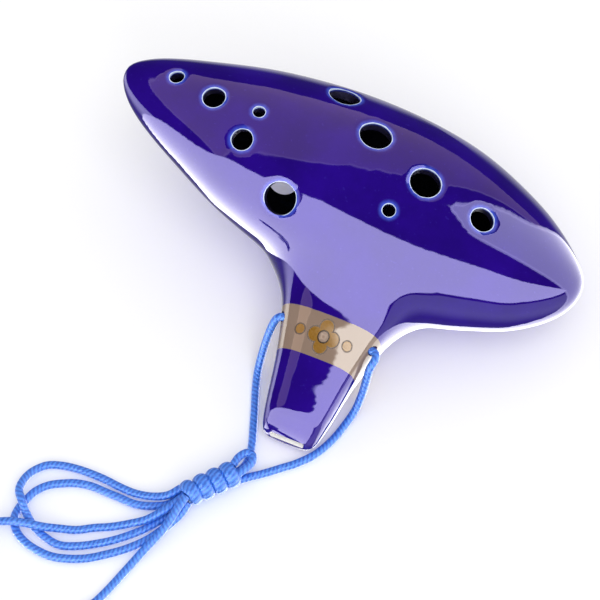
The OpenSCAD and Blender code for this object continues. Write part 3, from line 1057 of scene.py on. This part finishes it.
class HolesOperator(Operator):
    """Hollows the body and opens its holes, windway, window and cord bore"""

    bl_idname = "ocarina.holes"
    bl_label = "Chamber and holes"

    def execute(self, context):
        settings = context.scene.ocarina_body
        body = bpy.data.objects["glazed_body"]
        glaze = shared_material("deep_blue_glaze", glaze_material, settings)
        clay = shared_material("bare_white_clay", clay_material)
        chamber = lofted(
            "chamber",
            [
                body_ring(0.125 + 0.75 * i / CHAMBER_STEPS, settings.wall, CHAMBER_POINTS)
                for i in range(CHAMBER_STEPS + 1)
            ],
        )
        chamber.data.materials.append(shared_material("chamber_painted_shade", chamber_material))
        cut(body, chamber)
        for x, y, diameter, side in HOLES:
            point, normal = skin_place(x, y, side)
            deep = WIDE_HOLE_DEPTH if diameter > WIDE_HOLE else HOLE_DEPTH
            middle = point + normal * (HOLE_ABOVE - deep) / 2
            cutter = rod("hole", middle, normal, diameter * MM / 2, deep + HOLE_ABOVE)
            cutter.data.materials.append(glaze)
            cut(body, cutter)
        windway = prism("windway", WINDWAY, WINDWAY_WIDTH)
        modify(windway, "BEVEL", width=SLOT_ROUNDING, segments=4)
        windway.data.materials.append(clay)
        cut(body, windway)
        window = prism("window", WINDOW, WINDWAY_WIDTH)
        window.data.materials.append(clay)
        cut(body, window)
        bore = cord_bore()
        bore.data.materials.append(glaze)
        cut(body, bore)
        smooth(body, FLAT_ANGLE)
        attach(body, OCARINA)
        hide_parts("upper_shell", "lower_shell", "spout_roof", "spout_floor")
        return {"FINISHED"}


class KnotOperator(Operator):
    """Ties the barrel knot: four wraps round the strands, a core and the bight beyond"""

    bl_idname = "ocarina.knot"
    bl_label = "Knot"

    def execute(self, context):
        material = satin(context)
        pitch = 2 * KNOT_HALF / KNOT_WRAPS
        parts = []
        for i in range(KNOT_WRAPS):
            middle = KNOT_CENTRE + KNOT_ALONG * ((i + 0.5) * pitch - KNOT_HALF)
            bpy.ops.object.select_all(action="DESELECT")
            bpy.ops.mesh.primitive_torus_add(
                major_segments=48, minor_segments=20, major_radius=WRAP_RADIUS,
                minor_radius=WRAP_THICKNESS,
            )
            ring = context.object
            ring.scale = (1, 1, pitch * WRAP_OVERLAP / (2 * WRAP_THICKNESS))
            settle(ring)
            for corner in ring.data.uv_layers[0].data:
                corner.uv = (corner.uv[0] * 2 * math.pi * 0.0045, corner.uv[1])
            lean = WRAP_LEAN if i < KNOT_WRAPS - 1 else LAST_WRAP_LEAN
            ring.rotation_mode = "QUATERNION"
            tilted = (KNOT_ALONG + lean * KNOT_ACROSS).normalized()
            ring.rotation_quaternion = tilted.to_track_quat("Z", "Y")
            ring.location = middle
            settle(ring)
            parts.append(ring)
        core_length = 2 * KNOT_HALF - 0.0012
        parts.append(rod("knot_core", KNOT_CENTRE, KNOT_ALONG, KNOT_CORE_RADIUS, core_length, 32))
        diameter = context.scene.ocarina_cord.diameter
        parts.append(cord_tube("knot_bight_tube", evened(BIGHT, BIGHT_STEP), diameter, material))
        only(parts[0])
        for part in parts:
            part.select_set(True)
        bpy.ops.object.join()
        knot = context.object
        knot.name = "barrel_knot"
        knot.data.materials.clear()
        knot.data.materials.append(material)
        only(knot)
        bpy.ops.object.shade_smooth()
        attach(knot, LANYARD)
        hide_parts("knot_wraps", "knot_bight")
        return {"FINISHED"}


class TieOperator(Operator):
    """Wraps the tie round the turns of the coil"""

    bl_idname = "ocarina.tie"
    bl_label = "Coil tie"

    def execute(self, context):
        out = Vector((math.cos(TIE_ANGLE), math.sin(TIE_ANGLE), 0))
        along = Vector((-out.y, out.x, 0))
        middle = COIL_CENTRE + TIE_RADIUS * out + Vector((0, 0, TIE_MIDDLE_Z))
        line = []
        for k in range(TIE_TURNS * TIE_STEPS + 1):
            turn = k / TIE_STEPS
            angle = 2 * math.pi * turn - math.pi / 2
            c, s = math.cos(angle), math.sin(angle)
            place = middle + out * TIE_HALF[0] * math.copysign(abs(c) ** TIE_SQUARENESS, c)
            place += along * TIE_PITCH * (turn - TIE_TURNS / 2)
            place.z += TIE_HALF[1] * math.copysign(abs(s) ** TIE_SQUARENESS, s)
            line.append(place)
        tie = cord_tube("coil_binding", line, TIE_THREAD, tie_material())
        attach(tie, LANYARD)
        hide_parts("coil_tie")
        return {"FINISHED"}


class CordOperator(Operator):
    """Lays the satin cord: two strands, two loops, and the neck loop with its coil"""

    bl_idname = "ocarina.cord"
    bl_label = "Neck cord"

    def execute(self, context):
        knot = bpy.data.objects["barrel_knot"]
        tie = bpy.data.objects["coil_binding"]
        right_mouth = CORD_BORE + Vector((BORE_MOUTH, 0, 0))
        left_mouth = CORD_BORE - Vector((BORE_MOUTH, 0, 0))
        neck = NECK_LEFT + self.coil_line()[::2] + NECK_RIGHT[::-1]
        runs = [
            ("strand_right", STRAND_RIGHT, right_mouth, "loose", [knot],
             ["cord_strand_right", "cord_through_hole"]),
            ("strand_left", STRAND_LEFT, left_mouth, "loose", [knot], ["cord_strand_left"]),
            ("loop_upper", LOOP_UPPER, LOOP_UPPER[0], "loose", [knot], ["cord_loop_upper"]),
            ("loop_lower", LOOP_LOWER, LOOP_LOWER[0], "loose", [knot], ["cord_loop_lower"]),
            ("neck_loop", neck, neck[0], "coiled", [knot, tie],
             ["neck_cord_left", "neck_cord_right", "neck_cord_coil"]),
        ]
        settings = context.scene.ocarina_cord
        for name, points, leaves, lay, beside, nodes in runs:
            line = evened(points, CORD_STEP)
            piece = cord_tube(name, line, settings.diameter, satin(context))
            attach(piece, LANYARD)
            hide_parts(*nodes)
            length_of(line)
        return {"FINISHED"}

    def coil_line(self):
        """Three turns from the outside in, on the table, then two and a half on top of them."""
        line = []
        turns = 3
        inner = COIL_TURN - (turns - 1) * COIL_PITCH
        for k in range(turns * COIL_STEPS + 1):
            turn = k / COIL_STEPS
            radius = max(inner, COIL_TURN - COIL_PITCH * max(0.0, turn - 0.4) * 1.25)
            angle = math.radians(90) + 2 * math.pi * turn
            line.append(self.coil_point(radius, angle, CORD_REST))
        top_turns = 2.5
        for k in range(1, int(top_turns * COIL_STEPS) + 1):
            turn = k / COIL_STEPS
            climb = min(1.0, turn / 0.3)
            radius = inner + COIL_PITCH * min(1.5, 0.5 * climb + max(0.0, turn - 0.8) / 1.2)
            angle = math.radians(90) + 2 * math.pi * turn
            line.append(self.coil_point(radius, angle, CORD_REST + COIL_UPPER_RISE * climb))
        return line

    def coil_point(self, radius, angle, z):
        return COIL_CENTRE + Vector((radius * math.cos(angle), radius * math.sin(angle), z))


class OcarinaPanel(Panel):
    """Lists the steps in the sidebar"""

    bl_label = "Ocarina"
    bl_idname = "VIEW3D_PT_ocarina"
    bl_space_type = "VIEW_3D"
    bl_region_type = "UI"
    bl_category = "Ocarina"

    def draw(self, context):
        scene = context.scene
        for group in (scene.ocarina_body, scene.ocarina_band, scene.ocarina_cord):
            column = self.layout.column(align=True)
            for name in group.__annotations__:
                column.prop(group, name)
        for operator in OPERATORS:
            self.layout.operator(operator.bl_idname)


SETTINGS = [CordSettings, BodySettings, BandSettings]
OPERATORS = [
    StageOperator, FormOperator, BandOperator, HolesOperator, KnotOperator, TieOperator,
    CordOperator,
]


def register():
    for kind in SETTINGS + OPERATORS + [OcarinaPanel]:
        bpy.utils.register_class(kind)
    bpy.types.Scene.ocarina_cord = PointerProperty(type=CordSettings)
    bpy.types.Scene.ocarina_body = PointerProperty(type=BodySettings)
    bpy.types.Scene.ocarina_band = PointerProperty(type=BandSettings)


def unregister():
    del bpy.types.Scene.ocarina_band
    del bpy.types.Scene.ocarina_body
    del bpy.types.Scene.ocarina_cord
    for kind in reversed(SETTINGS + OPERATORS + [OcarinaPanel]):
        bpy.utils.unregister_class(kind)


def main():
    register()
    bpy.ops.ocarina.stage()
    bpy.ops.ocarina.form()
    bpy.ops.ocarina.band()
    bpy.ops.ocarina.holes()
    bpy.ops.ocarina.knot()
    bpy.ops.ocarina.tie()
    bpy.ops.ocarina.cord()


if __name__ == "__main__":
    main()
